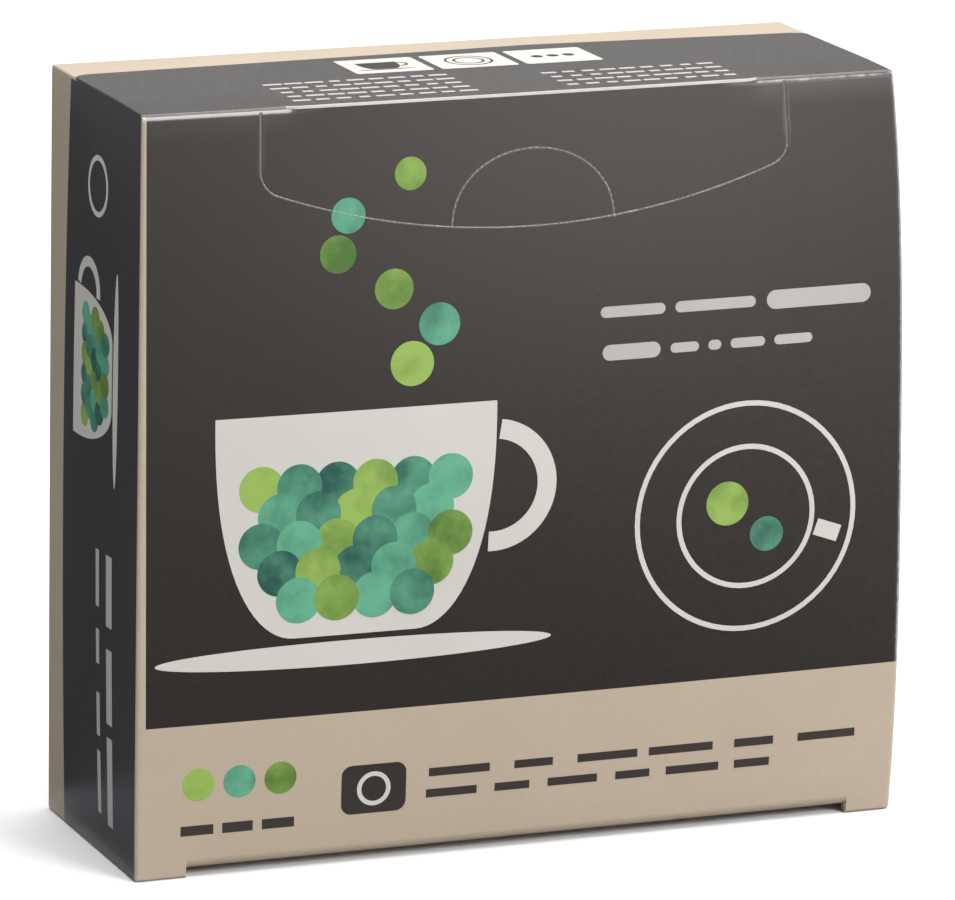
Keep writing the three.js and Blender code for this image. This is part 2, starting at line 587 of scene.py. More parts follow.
@dataclass(frozen=True)
class Carton:
    """The carton's own sizes in millimetres, and the way that it has spread."""

    width: float = 120.0
    depth: float = 44.1
    height: float = 115.5
    width_taper: float = 2.8
    depth_flare: float = 0.9
    panel_bow: float = 1.4
    side_bow: float = 1.0
    fold_bow: float = 2.1
    foot_hold: float = 0.75
    head_release: float = 0.5
    board: float = 0.45
    corner_radius: float = 0.6
    right_radius: float = 1.0
    back_radius: float = 1.3
    foot_radius: float = 0.5
    raised_radius: float = 1.6
    head_radius: float = 0.7
    tear_width: float = 84.4
    tear_depth: float = 20.0
    tear_arc_radius: float = 118.0
    tear_corner_radius: float = 4.0
    thumb_width: float = 25.8
    thumb_height: float = 11.0
    thumb_shift: float = 0.8
    head_cut_width: float = 76.0
    head_cut_slant: float = 1.8
    tab_width: float = 7.7
    tab_shift: float = 0.3
    foot_rise: float = 1.25
    base_setback: float = 5.0

    @property
    def half_width(self) -> float:
        """Half the foot's width."""
        return (self.width + self.width_taper / 2) / 2

    @property
    def half_depth(self) -> float:
        """Half the foot's depth."""
        return (self.depth - self.depth_flare / 2) / 2

    @property
    def wall_top(self) -> float:
        """Height of the panels below the top sheet."""
        return self.height - self.board

    @property
    def tab_edge(self) -> float:
        """Distance from the middle to a foot tab's inner edge."""
        return self.half_width - self.tab_width

    def spread(self, points: np.ndarray) -> np.ndarray:
        """Takes points of the straight box to the spread and swollen carton.

        Args:
            points: Rows of x, y and z in millimetres, on a box with the foot's plan.

        Returns:
            The same rows in metres, in place.
        """
        x, y, z = np.asarray(points, float).T
        rise = z / self.height
        across = x / self.half_width
        along = y / self.half_depth
        lift = 1 - (2 * rise - 1) ** 2
        held = np.where(rise < 0.5, self.foot_hold, 1.0)
        rightward = ((1 + across) / 2) ** 2 * (1 - held * np.abs(2 * rise - 1) ** 3)
        narrowing = 1 - rise * self.width_taper / (2 * self.half_width)
        deepening = 1 + rise * self.depth_flare / (2 * self.half_depth)
        swelling = self.side_bow * across * (1 - along ** 2) * lift
        placed_x = x * narrowing + swelling + self.fold_bow * rightward
        released = self.head_release * (along < 0) * rise ** 6
        placed_y = y * deepening + along * (1 - across ** 2) * (self.panel_bow * lift + released)
        return np.column_stack((placed_x, placed_y, z)) * MM

    def place(self, panel: Panel, flat: np.ndarray) -> np.ndarray:
        """Lays points drawn on a flat panel on the carton.

        Args:
            panel: The panel.
            flat: Rows of right, up and outward distances in millimetres.

        Returns:
            Rows of x, y and z in metres.
        """
        right, up, out = np.asarray(flat, float).T
        if panel is Panel.FRONT:
            rows = (right, -self.half_depth - out, up)
        elif panel is Panel.LEFT:
            rows = (-self.half_width - out, -right, up)
        else:
            rows = (right, up, self.height + out)
        return self.spread(np.column_stack(rows))

    def tear_line(self) -> list[Flat]:
        """The crescent on the flat front panel, from its left end at the head to its right.

        Returns:
            Points of right and up, about a millimetre apart.
        """
        middle = self.height - self.tear_depth + self.tear_arc_radius
        corner_x = self.tear_width / 2 - self.tear_corner_radius
        reach = self.tear_arc_radius - self.tear_corner_radius
        corner_y = middle - math.sqrt(reach ** 2 - corner_x ** 2)
        meet = math.atan2(corner_y - middle, corner_x)
        right = [(self.tear_width / 2, up) for up in np.arange(self.height, corner_y, -1.0)]
        for turn in np.linspace(0, meet, 9):
            right.append((
                corner_x + self.tear_corner_radius * math.cos(turn),
                corner_y + self.tear_corner_radius * math.sin(turn),
            ))
        for turn in np.linspace(meet, -math.pi / 2, 42)[1:]:
            right.append((
                self.tear_arc_radius * math.cos(turn),
                middle + self.tear_arc_radius * math.sin(turn),
            ))
        left = [(-x, y) for x, y in right]
        return left + right[-2::-1]

    def thumb_line(self) -> list[Flat]:
        """The thumb tab's dome on the flat front panel.

        Returns:
            Points of right and up, about a millimetre apart.
        """
        half = self.thumb_width / 2
        dome = self.thumb_height + self.arc_rise(half)
        line = []
        for turn in np.linspace(math.pi, 0, 36):
            right = self.thumb_shift + half * math.cos(turn)
            low = self.height - self.tear_depth + self.arc_rise(right)
            line.append((right, low + dome * math.sin(turn)))
        return line

    def arc_rise(self, right: float) -> float:
        """Height of the crescent's long arc above its lowest point, at a place across the panel."""
        return self.tear_arc_radius - math.sqrt(self.tear_arc_radius ** 2 - right ** 2)


@dataclass(frozen=True)
class Post:
    """One point of the carton's plan, with the way that it faces."""

    x: float
    y: float
    face_x: float
    face_y: float
    side: Side
    share: float = 0.0
    lean: float = 0.0


@dataclass
class FoldedWalls:
    """The front, back and sides with their creases, the head folds and the raised foot fold."""

    carton: Carton
    fold_steps: int = 10
    column_step: float = 4.0
    level_step: float = 3.5
    band_height: float = 23.38
    strip_start: float = 12.7
    strip_lean: float = -1.3
    front_ink_start: float = -59.05
    front_ink_lean: float = -1.0
    fold_ink_share: float = 0.15
    rim: float = 0.4
    slip: float = 0.03
    groove_radius: float = 0.2
    pale_band_core: float = 0.3
    pale_band_reach: float = 0.8
    pale_band_left: float = 0.25
    pale_band_right: float = 0.6
    pale_band_foot: float = 104.0
    head_wear_and_highlight_left: float = 1.3
    head_wear_and_highlight_middle: float = 1.15
    head_wear_and_highlight_fade: float = 0.4
    groove_sides: int = 8

    def posts(self) -> list[Post]:
        """The plan, anticlockwise from the left end of the front.

        Returns:
            Its posts.
        """
        size = self.carton
        wide = size.half_width - size.back_radius
        deep = size.half_depth - size.back_radius
        slant = size.head_cut_width / 2 - size.head_cut_slant
        tear = size.tear_width / 2
        marks = [self.front_ink_start]
        for edge in (size.tab_edge, size.tab_edge + self.slip):
            marks += [size.tab_shift - edge, size.tab_shift + edge]
        for edge in (size.head_cut_width / 2, slant):
            marks += [-edge, edge]
        for reach in (self.pale_band_core, self.pale_band_reach):
            marks += [-tear - reach, -tear + reach, tear - reach, tear + reach]
        across = even_lines(-wide, wide, self.column_step, marks)
        along = even_lines(-deep, deep, self.column_step, [self.strip_start])
        plan: list[Post] = []
        plan += self.corner(-1, -1, math.pi, size.corner_radius, Side.FRONT_LEFT)
        for x in (place for place in across if place >= self.front_ink_start):
            lean = self.front_ink_lean if x == self.front_ink_start else 0.0
            plan.append(Post(x, -size.half_depth, 0, -1, Side.FRONT, lean=lean))
        plan += self.corner(1, -1, 1.5 * math.pi, size.right_radius, Side.FRONT_RIGHT)
        plan += [self.side_post(size.half_width, y, Side.RIGHT) for y in along[:-1]]
        plan += self.corner(1, 1, 0.0, size.back_radius, Side.BACK_RIGHT)
        plan += [Post(x, size.half_depth, 0, 1, Side.BACK) for x in reversed(across[1:-1])]
        plan += self.corner(-1, 1, 0.5 * math.pi, size.back_radius, Side.BACK_LEFT)
        plan += [self.side_post(-size.half_width, y, Side.LEFT) for y in reversed(along[:-1])]
        return plan

    def side_post(self, x: float, y: float, side: Side) -> Post:
        """A post of a side panel, which leans where the two colours meet."""
        lean = self.strip_lean if y == self.strip_start else 0.0
        return Post(x, y, math.copysign(1, x), 0, side, lean=lean)

    def corner(self, right: int, back: int, start: float, radius: float, side: Side) -> list[Post]:
        """The posts round one upright crease.

        Args:
            right, back: The corner's signs on the plan.
            start: The angle that the first post faces.
            radius: The crease's radius.
            side: The corner's name.

        Returns:
            Its posts, a quarter turn.
        """
        x, y = right * (self.carton.half_width - radius), back * (self.carton.half_depth - radius)
        posts = []
        for step in range(self.fold_steps + 1):
            share = step / self.fold_steps
            turn = start + share * math.pi / 2
            face_x, face_y = math.cos(turn), math.sin(turn)
            posts.append(Post(x + radius * face_x, y + radius * face_y, face_x, face_y, side, share))
        return posts

    def is_raised(self, post: Post) -> bool:
        """Whether the foot's fold is raised at a post, between the corner tabs."""
        return post.side is Side.FRONT and abs(post.x - self.carton.tab_shift) <= self.carton.tab_edge

    def cut_share(self, post: Post) -> float:
        """How far the head fold gives way to a plain cut at a post.

        Args:
            post: The post.

        Returns:
            From 0 on a fold to 1 on a cut.
        """
        shares = {
            Side.LEFT: 1.0,
            Side.RIGHT: 1.0,
            Side.FRONT_LEFT: 1 - post.share,
            Side.FRONT_RIGHT: post.share,
            Side.BACK_RIGHT: 1 - post.share,
            Side.BACK_LEFT: post.share,
        }
        if post.side is not Side.FRONT:
            return shares.get(post.side, 0.0)
        inside = self.carton.head_cut_width / 2 - abs(post.x)
        return min(1.0, max(0.0, inside / self.carton.head_cut_slant))

    def profile(self, post: Post) -> list[tuple[float, float, float]]:
        """The wall's section at a post, from inside the foot to the head.

        Args:
            post: The post.

        Returns:
            Rows of inset, height and crease.
        """
        size = self.carton
        raised = self.is_raised(post)
        lift = size.foot_rise if raised else 0.0
        foot, head = size.raised_radius if raised else size.foot_radius, size.head_radius
        # Upright folds pale most half way round their crease: worn ink and a painted highlight.
        upright = math.sin(math.pi * post.share)
        inner = size.raised_radius + self.rim
        rows = [(inner + self.slip, size.foot_rise, 0.0)]
        rows.append((inner - self.rim / 2 if raised else inner, lift, 0.0))
        for step in range(self.fold_steps + 1):
            turn = step / self.fold_steps * math.pi / 2
            rows.append((foot * (1 - math.sin(turn)), lift + foot * (1 - math.cos(turn)), upright))
        start = size.foot_rise + size.raised_radius
        for level in even_lines(start, size.wall_top - head, self.level_step, [self.band_height])[1:-1]:
            rows.append((0.0, level, max(upright, self.pale_band(post, level))))
        cut = self.cut_share(post)
        for step in range(self.fold_steps + 1):
            share = step / self.fold_steps
            turn = share * math.pi / 2
            inset = head * (1 - math.cos(turn)) * (1 - cut) + cut * head * max(0.0, 2 * share - 1)
            drop = head * (1 - math.sin(turn)) * (1 - cut) + cut * head * max(0.0, 1 - 2 * share)
            # Head folds pale most half way round, where they face up and forward: worn ink and a painted
            # highlight.
            crease = max(upright, self.head_wear_and_highlight(post) * math.sin(2 * turn) * (1 - cut))
            rows.append((inset, size.wall_top - drop, crease))
        return rows

    def pale_band(self, post: Post, level: float) -> float:
        """How much paler the board is drawn at a place beside the tear line's upright ends, more on the
        right.
        """
        if post.side is not Side.FRONT or level < self.pale_band_foot:
            return 0.0
        depth = self.pale_band_left if post.x < 0 else self.pale_band_right
        away = abs(abs(post.x) - self.carton.tear_width / 2) - self.pale_band_core
        return depth * min(1.0, max(0.0, 1 - away / (self.pale_band_reach - self.pale_band_core)))

    def head_wear_and_highlight(self, post: Post) -> float:
        """How much the head fold pales at a post, as worn ink and as a painted highlight: most on the left,
        less to the right.
        """
        faded = self.head_wear_and_highlight_middle - self.head_wear_and_highlight_fade * post.x / self.carton.half_width
        return self.head_wear_and_highlight_left if post.x < 0 else faded

    def inset(self, post: Post, distance: float) -> tuple[float, float]:
        """Moves a post inwards, past the corner's centre if need be.

        Args:
            post: The post.
            distance: How far.

        Returns:
            Its new x and y.
        """
        if post.side in (Side.FRONT, Side.RIGHT, Side.BACK, Side.LEFT):
            return post.x - distance * post.face_x, post.y - distance * post.face_y
        near = min(distance, self.carton.corner_radius - self.slip)
        beyond = distance - near
        x = post.x - near * post.face_x - beyond * math.copysign(1, post.x)
        y = post.y - near * post.face_y - beyond * math.copysign(1, post.y)
        return x, y

    def shows(self, post: Post, after: Post, height: float, level: int, levels: int) -> BoardFace:
        """What a face of the walls shows.

        Args:
            post, after: The posts that it stands between.
            height: The height of its middle.
            level, levels: Its place in the profile, and the profile's faces.

        Returns:
            The print, or bare board.
        """
        if level < 2:
            return BoardFace.BEIGE
        side = post.side if post.share < 1 else after.side
        share = (post.share + (after.share if after.side is post.side else 1.0)) / 2
        in_band = height < self.band_height
        at_head = level >= levels - self.fold_steps
        if side is Side.FRONT:
            middle = (post.x + after.x) / 2
            beyond = abs(middle - self.carton.tab_shift) - self.carton.tab_edge
            if level < self.fold_steps + 2 and 0 < beyond < self.slip:
                return BoardFace.RAW
            edge = middle < self.front_ink_start
            return BoardFace.BEIGE if in_band or edge else BoardFace.CHARCOAL
        if side is Side.FRONT_LEFT:
            if at_head and 0.25 < share < 0.75:
                return BoardFace.RAW
            return BoardFace.BEIGE if share > self.fold_ink_share else BoardFace.CHARCOAL
        if side is Side.FRONT_RIGHT:
            return BoardFace.BEIGE if in_band and share < 1 - self.fold_ink_share else BoardFace.CHARCOAL
        if side in (Side.LEFT, Side.RIGHT):
            back = (post.y + after.y) / 2 > self.strip_start
            return BoardFace.BEIGE if back else BoardFace.CHARCOAL
        return BoardFace.BEIGE

    def mesh(self) -> MeshData:
        """The walls as one closed skin.

        Returns:
            Its mesh.
        """
        posts = self.posts()
        profiles = [self.profile(post) for post in posts]
        count, levels = len(posts), len(profiles[0])
        points, creases = [], []
        for level in range(levels):
            for post, profile in zip(posts, profiles):
                distance, height, crease = profile[level]
                x, y = self.inset(post, distance)
                shift = post.lean * height / self.carton.height
                points.append((x + shift * abs(post.face_y), y + shift * abs(post.face_x), height))
                creases.append(crease)
        faces, kinds = [tuple(reversed(range(count)))], [BoardFace.BEIGE.value]
        for level in range(levels - 1):
            for index in range(count):
                after = (index + 1) % count
                low, high = level * count, (level + 1) * count
                faces.append((low + index, low + after, high + after, high + index))
                height = (profiles[index][level][1] + profiles[index][level + 1][1]) / 2
                kinds.append(self.shows(posts[index], posts[after], height, level, levels - 1).value)
        # The walls' top gets the greyed cut edge: painted light on the narrow ledge in front of the top
        # sheet, where the crevice is in shade.
        faces.append(tuple(range((levels - 1) * count, levels * count)))
        kinds.append(BoardFace.LIT_AND_SHADED_EDGE.value)
        placed = self.carton.spread(np.array(points))
        return MeshData(placed, faces, kinds, {"crease": np.array(creases)})

    def groove(self, line: Sequence[Flat], name: str) -> bpy.types.Object:
        """A round cutter along a line of the front panel.

        Args:
            line: The line on the flat panel.
            name: The cutter's name.

        Returns:
            The cutter.
        """
        flat = np.array([(right, up, 0.0) for right, up in line])
        path = self.carton.place(Panel.FRONT, flat)
        tangents = np.gradient(path, axis=0)
        tangents /= np.linalg.norm(tangents, axis=1)[:, None]
        outward = np.array((0.0, -1.0, 0.0))
        beside = np.cross(tangents, outward)
        beside /= np.linalg.norm(beside, axis=1)[:, None]
        points = []
        for centre, side in zip(path, beside):
            for step in range(self.groove_sides):
                turn = 2 * math.pi * step / self.groove_sides
                ray = math.cos(turn) * side + math.sin(turn) * outward
                points.append(centre + self.groove_radius * MM * ray)
        sides, last = self.groove_sides, len(path) - 1
        faces = [tuple(range(sides))]
        for index in range(last):
            for step in range(sides):
                after = (step + 1) % sides
                low, high = index * sides, (index + 1) * sides
                faces.append((low + after, low + step, high + step, high + after))
        faces.append(tuple(reversed(range(last * sides, (last + 1) * sides))))
        kinds = [BoardFace.SCORE.value] * len(faces)
        cutter = make_piece(name, MeshData(np.array(points), faces, kinds), BOARD_FINISHES)
        turned = bmesh.new()
        turned.from_mesh(cutter.data)
        bmesh.ops.recalc_face_normals(turned, faces=turned.faces)
        turned.to_mesh(cutter.data)
        turned.free()
        return cutter

    def build(self) -> bpy.types.Object:
        """Makes the walls and cuts the tear line and the thumb line into them.

        Returns:
            The piece.
        """
        walls = make_piece("folded_walls", self.mesh(), BOARD_FINISHES)
        for name, line in (("tear", self.carton.tear_line()), ("thumb", self.carton.thumb_line())):
            cutter = self.groove(line, f"{name}_cutter")
            cut = walls.modifiers.new(name, "BOOLEAN")
            cut.operation = "DIFFERENCE"
            cut.solver = "EXACT"
            cut.object = cutter
            take_result(walls)
            bpy.data.objects.remove(cutter)
        return settle(walls, Slot.CHARCOAL)


@dataclass
class TopSheet:
    """The board that closes the head: hinged on the back, cut on its other three sides."""

    carton: Carton
    end_gap: float = 0.02
    end_radius: float = 0.4
    ledge: float = 0.85
    dip: float = 0.2
    dip_length: float = 9.0
    bevel: float = 0.06
    strip_middle: float = 13.8
    strip_slope: float = 0.0384
    strip_turn: float = 15.0
    strip_fall: float = 0.105
    ink_corner: float = 2.6
    back_corner: float = 1.3
    fold_radius: float = 1.1
    fold_steps: int = 8
    tuck: float = 0.3

    def section(self, x: float) -> list[tuple[float, float, BoardFace]]:
        """The sheet's section at a place across the carton.

        Args:
            x: The place.

        Returns:
            Its corners as y and z, each with what the face after it shows.
        """
        size = self.carton
        inside = size.head_cut_width / 2 - abs(x)
        ledge = self.ledge * (1 - min(1.0, max(0.0, inside / size.head_cut_slant)))
        front, back, top = -size.half_depth + ledge, size.half_depth + 0.01, size.height
        # Beside the head cut the front edge gets the greyed cut edge: painted shade on its bare fibre,
        # which sits back over the fold.
        edge = BoardFace.RAW if abs(x) < size.head_cut_width / 2 - 0.1 else BoardFace.LIT_AND_SHADED_EDGE
        rows = [(front, top - size.board, edge), (front, top - self.bevel, edge)]
        strip = self.strip_start(x)
        rows += [(y, top, BoardFace.CHARCOAL) for y in np.linspace(front + self.bevel, strip, 9)[:-1]]
        rows += [(y, top, BoardFace.BEIGE) for y in np.linspace(strip, back - self.fold_radius, 3)[:-1]]
        for step in range(self.fold_steps + 1):
            turn = math.pi / 2 * (1 - step / self.fold_steps)
            y = back - self.fold_radius * (1 - math.cos(turn))
            z = top - self.fold_radius * (1 - math.sin(turn))
            rows.append((y, z, BoardFace.BEIGE))
        rows.append((back - self.tuck, top - self.fold_radius, BoardFace.RAW))
        rows.append((back - self.fold_radius, top - size.board, BoardFace.RAW))
        rows.append((strip, top - size.board, BoardFace.RAW))
        low = top - size.board
        worn = 1 - self.end_drop(x) / size.board
        return [(y, low + (z - low) * worn - self.sink(x, y, front), face) for y, z, face in rows]

    def end_drop(self, x: float) -> float:
        """How far the sheet's upper face turns down at its rounded ends."""
        beyond = max(0.0, abs(x) - self.carton.half_width + self.end_gap + self.end_radius)
        return self.end_radius - math.sqrt(max(0.0, self.end_radius ** 2 - beyond ** 2))

    def corner_cut(self, y: float) -> float:
        """How far the sheet's ends turn in round its back corners, at a place along them."""
        beyond = min(self.back_corner, max(0.0, y - self.carton.half_depth + self.back_corner))
        return self.back_corner - math.sqrt(self.back_corner ** 2 - beyond ** 2)

    def cap(
        self, faces: list[tuple[int, ...]], kinds: list[int], section: list, start: int, flip: bool
    ) -> None:
        """Closes one end of the sheet, in the colour of the print beside it.

        Args:
            faces, kinds: The sheet's faces, which get the end's own.
            section: The end's section.
            start: Its first point.
            flip: Whether it faces right.
        """
        split = next(index for index, row in enumerate(section) if row[2] is BoardFace.BEIGE)
        last = len(section) - 1
        loops = (
            (BoardFace.CHARCOAL, [*range(split + 1), last]),
            (BoardFace.BEIGE, [*range(split, last + 1)]),
        )
        for kind, loop in loops:
            placed = [start + index for index in loop]
            faces.append(tuple(reversed(placed) if flip else placed))
            kinds.append(kind.value)

    def strip_start(self, x: float) -> float:
        """Where the pale strip begins at a place across the carton.

        Args:
            x: The place.

        Returns:
            Its y, which turns forward round the dark field's corners.
        """
        inside = min(self.ink_corner, self.carton.half_width - self.end_gap - abs(x))
        beyond = self.ink_corner - inside
        turned = self.ink_corner - math.sqrt(max(0.0, self.ink_corner ** 2 - beyond ** 2))
        fall = self.strip_fall * max(0.0, x - self.strip_turn)
        return self.strip_middle + self.strip_slope * x - turned - fall

    def sink(self, x: float, y: float, front: float) -> float:
        """How far the sheet is pressed down at its glued front ends."""
        outside = min(1.0, max(0.0, (abs(x) - self.carton.head_cut_width / 2 + 2) / 4))
        return self.dip * outside * max(0.0, 1 - (y - front) / self.dip_length)

    def build(self) -> bpy.types.Object:
        """Makes the sheet.

        Returns:
            The piece.
        """
        size = self.carton
        half = size.half_width - self.end_gap
        cut = size.head_cut_width / 2
        near_ends = [half - self.ink_corner * share for share in (0.2, 0.45, 1.0)]
        round_ends = [half - self.end_radius * share for share in (0.03, 0.13, 0.3, 0.5, 0.75, 1.0)]
        marks = [cut, cut - size.head_cut_slant] + near_ends + round_ends
        columns = even_lines(-half, half, 6.0, marks + [-mark for mark in marks])
        sections = [self.section(x) for x in columns]
        corners = len(sections[0])
        points = [
            (x * (1 - self.corner_cut(y) / half), y, z)
            for x, section in zip(columns, sections)
            for y, z, _ in section
        ]
        faces, kinds = [], []
        self.cap(faces, kinds, sections[0], 0, False)
        for index in range(len(columns) - 1):
            low, high = index * corners, (index + 1) * corners
            for corner in range(corners):
                after = (corner + 1) % corners
                faces.append((low + after, low + corner, high + corner, high + after))
                kinds.append(sections[index + (columns[index] < 0)][corner][2].value)
        self.cap(faces, kinds, sections[-1], (len(columns) - 1) * corners, True)
        data = MeshData(size.spread(np.array(points)), faces, kinds)
        data.masks["crease"] = np.zeros(len(points))
        return settle(make_piece("top_sheet", data, BOARD_FINISHES), Slot.CHARCOAL)


@dataclass
class BaseSheet:
    """The outer board of the bottom closure, which stops short of the raised front fold."""

    carton: Carton
    gap: float = 1.7
    bevel: float = 0.05

    def build(self) -> bpy.types.Object:
        """Makes the sheet.

        Returns:
            The piece.
        """
        size = self.carton
        half = size.half_width - self.gap
        front, back = size.base_setback - size.half_depth, size.half_depth - self.gap
        shape = bmesh.new()
        bmesh.ops.create_cube(shape, size=1.0)
        for vertex in shape.verts:
            vertex.co.x *= 2 * half
            vertex.co.y = front + (vertex.co.y + 0.5) * (back - front)
            vertex.co.z = (vertex.co.z + 0.5) * size.foot_rise
        bmesh.ops.bevel(shape, geom=shape.edges[:], offset=self.bevel, segments=2, affect="EDGES")
        shape.verts.index_update()
        points = np.array([vertex.co[:] for vertex in shape.verts])
        faces = [tuple(vertex.index for vertex in face.verts) for face in shape.faces]
        kinds = []
        for face in shape.faces:
            flat = abs(face.normal.z) > 0.5
            kinds.append(BoardFace.BEIGE.value if flat else BoardFace.RAW.value)
        shape.free()
        data = MeshData(size.spread(points), faces, kinds, {"crease": np.zeros(len(points))})
        return settle(make_piece("base_sheet", data, BOARD_FINISHES), Slot.BEIGE)


class RecipeTree(NodeTree):
    """A Geometry Nodes tree with named inputs."""

    def __init__(self, name: str, asked: dict[str, str]) -> None:
        """Makes an empty tree that takes and gives a geometry.

        Args:
            name: The tree's name.
            asked: The kinds of socket of its other inputs, by name.
        """
        super().__init__(bpy.data.node_groups.new(name, "GeometryNodeTree"))
        self.tree.is_modifier = True
        self._socket("Geometry", "OUTPUT", "Geometry")
        self._socket("Geometry", "INPUT", "Geometry")
        self.ids = {key: self._socket(key, "INPUT", kind).identifier for key, kind in asked.items()}
        self._source = self.tree.nodes.new("NodeGroupInput")

    def _socket(self, name: str, way: str, kind: str) -> bpy.types.NodeTreeInterfaceSocket:
        """Adds a socket to the tree's outside."""
        return self.tree.interface.new_socket(name, in_out=way, socket_type=f"NodeSocket{kind}")

    def given(self, name: str) -> Shade:
        """The value of a named input."""
        return Shade(self, self._source.outputs[name])

    def finish(self, geometry: Shade) -> None:
        """Ends the tree: real meshes with the asked material."""
        real = self.add("GeometryNodeRealizeInstances", inputs={"Geometry": geometry})
        inputs = {"Geometry": real, "Material": self.given("Material")}
        dressed = self.add("GeometryNodeSetMaterial", inputs=inputs)
        self.add("NodeGroupOutput", inputs={"Geometry": dressed})

    def run(self, carrier: bpy.types.Object, values: dict[str, object]) -> None:
        """Runs the tree on an object and keeps the mesh that it makes.

        Args:
            carrier: The object, whose mesh is replaced.
            values: The tree's inputs by name.
        """
        recipe = carrier.modifiers.new(self.tree.name, "NODES")
        recipe.node_group = self.tree
        for name, value in values.items():
            recipe[self.ids[name]] = value
        take_result(carrier)


def make_fibre_recipe() -> RecipeTree:
    """The recipe for lifted fibres along a cut line.

    Returns:
        The tree. Its carrier is a mesh of edges along the line.
    """
    asked = {"Spacing": "Float", "Smallest": "Vector", "Largest": "Vector", "Seed": "Int"}
    recipe = RecipeTree("lifted_fibres", asked | {"Material": "Material"})
    curve = recipe.add("GeometryNodeMeshToCurve", inputs={"Mesh": recipe.given("Geometry")})
    settings = {"mode": "LENGTH"}
    inputs = {"Curve": curve, "Length": recipe.given("Spacing")}
    points = recipe.add("GeometryNodeCurveToPoints", settings, inputs)
    tangent = Shade(recipe, points.socket.node.outputs["Tangent"])
    turned = recipe.add("FunctionNodeAlignRotationToVector", {"axis": "X"}, {"Vector": tangent})
    settings = {"data_type": "FLOAT_VECTOR"}
    inputs = {0: recipe.given("Smallest"), 1: recipe.given("Largest"), "Seed": recipe.given("Seed")}
    size = recipe.add("FunctionNodeRandomValue", settings, inputs)
    fibre = recipe.add("GeometryNodeMeshUVSphere", inputs={"Segments": 8, "Rings": 5, "Radius": 0.5})
    inputs = {"Points": points, "Instance": fibre, "Rotation": turned, "Scale": size}
    recipe.finish(recipe.add("GeometryNodeInstanceOnPoints", inputs=inputs))
    return recipe


def make_words_recipe() -> RecipeTree:
    """The recipe for rows of short bars, each as long as a word.

    Returns:
        The tree. It lays the bars flat on x and y, in millimetres.
    """
    asked = {"Length": "Float", "Height": "Float", "Words": "Int", "Rows": "Int"}
    asked |= {"Shortest": "Vector", "Longest": "Vector", "Seed": "Int", "Material": "Material"}
    recipe = RecipeTree("word_rows", asked)
    inputs = {
        "Size X": recipe.given("Length"),
        "Size Y": recipe.given("Height"),
        "Vertices X": recipe.given("Words"),
        "Vertices Y": recipe.given("Rows"),
    }
    grid = recipe.add("GeometryNodeMeshGrid", inputs=inputs)
    settings = {"data_type": "FLOAT_VECTOR"}
    inputs = {0: recipe.given("Shortest"), 1: recipe.given("Longest"), "Seed": recipe.given("Seed")}
    size = recipe.add("FunctionNodeRandomValue", settings, inputs)
    bar = recipe.add("GeometryNodeMeshCube", inputs={"Size": (1.0, 1.0, 1.0)})
    inputs = {"Points": grid, "Instance": bar, "Scale": size}
    recipe.finish(recipe.add("GeometryNodeInstanceOnPoints", inputs=inputs))
    return recipe


@dataclass
class TearFibres:
    """Pale fibres that stand up along the cut and nicked lines of the front."""

    carton: Carton
    spacing: float = 0.85
    smallest: Flat = (0.6, 0.08)
    largest: Flat = (1.2, 0.22)
    thinnest: float = 0.1
    thickest: float = 0.2
    proud: float = 0.03
    highest: float = 110.0

    def build(self, recipe: RecipeTree, name: str, line: Sequence[Flat], seed: int) -> bpy.types.Object:
        """Makes the fibres of one line.

        Args:
            recipe: The fibres' recipe.
            name: The piece's name.
            line: The line on the flat front panel.
            seed: The draw of their sizes.

        Returns:
            The piece.
        """
        flat = np.array([(right, up, self.proud) for right, up in line if up < self.highest])
        path = self.carton.place(Panel.FRONT, flat)
        mesh = bpy.data.meshes.new(name)
        edges = [(index, index + 1) for index in range(len(path) - 1)]
        mesh.from_pydata([tuple(point) for point in path], edges, [])
        piece = bpy.data.objects.new(name, mesh)
        bpy.context.scene.collection.objects.link(piece)
        recipe.run(piece, {
            "Spacing": self.spacing * MM,
            "Smallest": tuple(part * MM for part in (self.smallest[0], self.smallest[1], self.thinnest)),
            "Largest": tuple(part * MM for part in (self.largest[0], self.largest[1], self.thickest)),
            "Seed": seed,
            "Material": LIBRARY.get(FIBRE),
        })
        return settle(piece, Slot.RAW)


@dataclass(frozen=True)
class Shape:
    """A printed shape on a flat panel: points, faces, how deep its colour is and its place in the stack."""

    points: tuple[Flat, ...]
    faces: tuple[tuple[int, ...], ...]
    wash: float = 0.5
    layer: int = 0

    def moved(self, right: float, up: float, scale: float = 1.0, turn: float = 0.0) -> "Shape":
        """Returns the shape scaled and turned about the origin, then moved."""
        cosine, sine = scale * math.cos(turn), scale * math.sin(turn)
        points = tuple((right + cosine * u - sine * v, up + sine * u + cosine * v) for u, v in self.points)
        return replace(self, points=points)


def area_of(points: Sequence[Flat], wash: float = 0.5) -> Shape:
    """A filled outline, given anticlockwise."""
    return Shape(tuple(points), (tuple(range(len(points))),), wash)


def disc(right: float, up: float, radius: float, wash: float = 0.5) -> Shape:
    """A filled circle."""
    turns = np.linspace(0, 2 * math.pi, 48, endpoint=False)
    points = [(right + radius * math.cos(turn), up + radius * math.sin(turn)) for turn in turns]
    return area_of(points, wash)


def bar(left: float, right: float, low: float, high: float, radius: float) -> Shape:
    """A filled rectangle with round corners.

    Args:
        left, right, low, high: Its sides.
        radius: Its corners' radius.

    Returns:
        The shape.
    """
    centres = ((right, high, -1, -1), (left, high, 1, -1), (left, low, 1, 1), (right, low, -1, 1))
    points = []
    for quarter, (u, v, inward_u, inward_v) in enumerate(centres):
        for step in range(7):
            turn = (quarter + step / 6) * math.pi / 2
            points.append((
                u + inward_u * radius + radius * math.cos(turn),
                v + inward_v * radius + radius * math.sin(turn),
            ))
    return area_of(points)


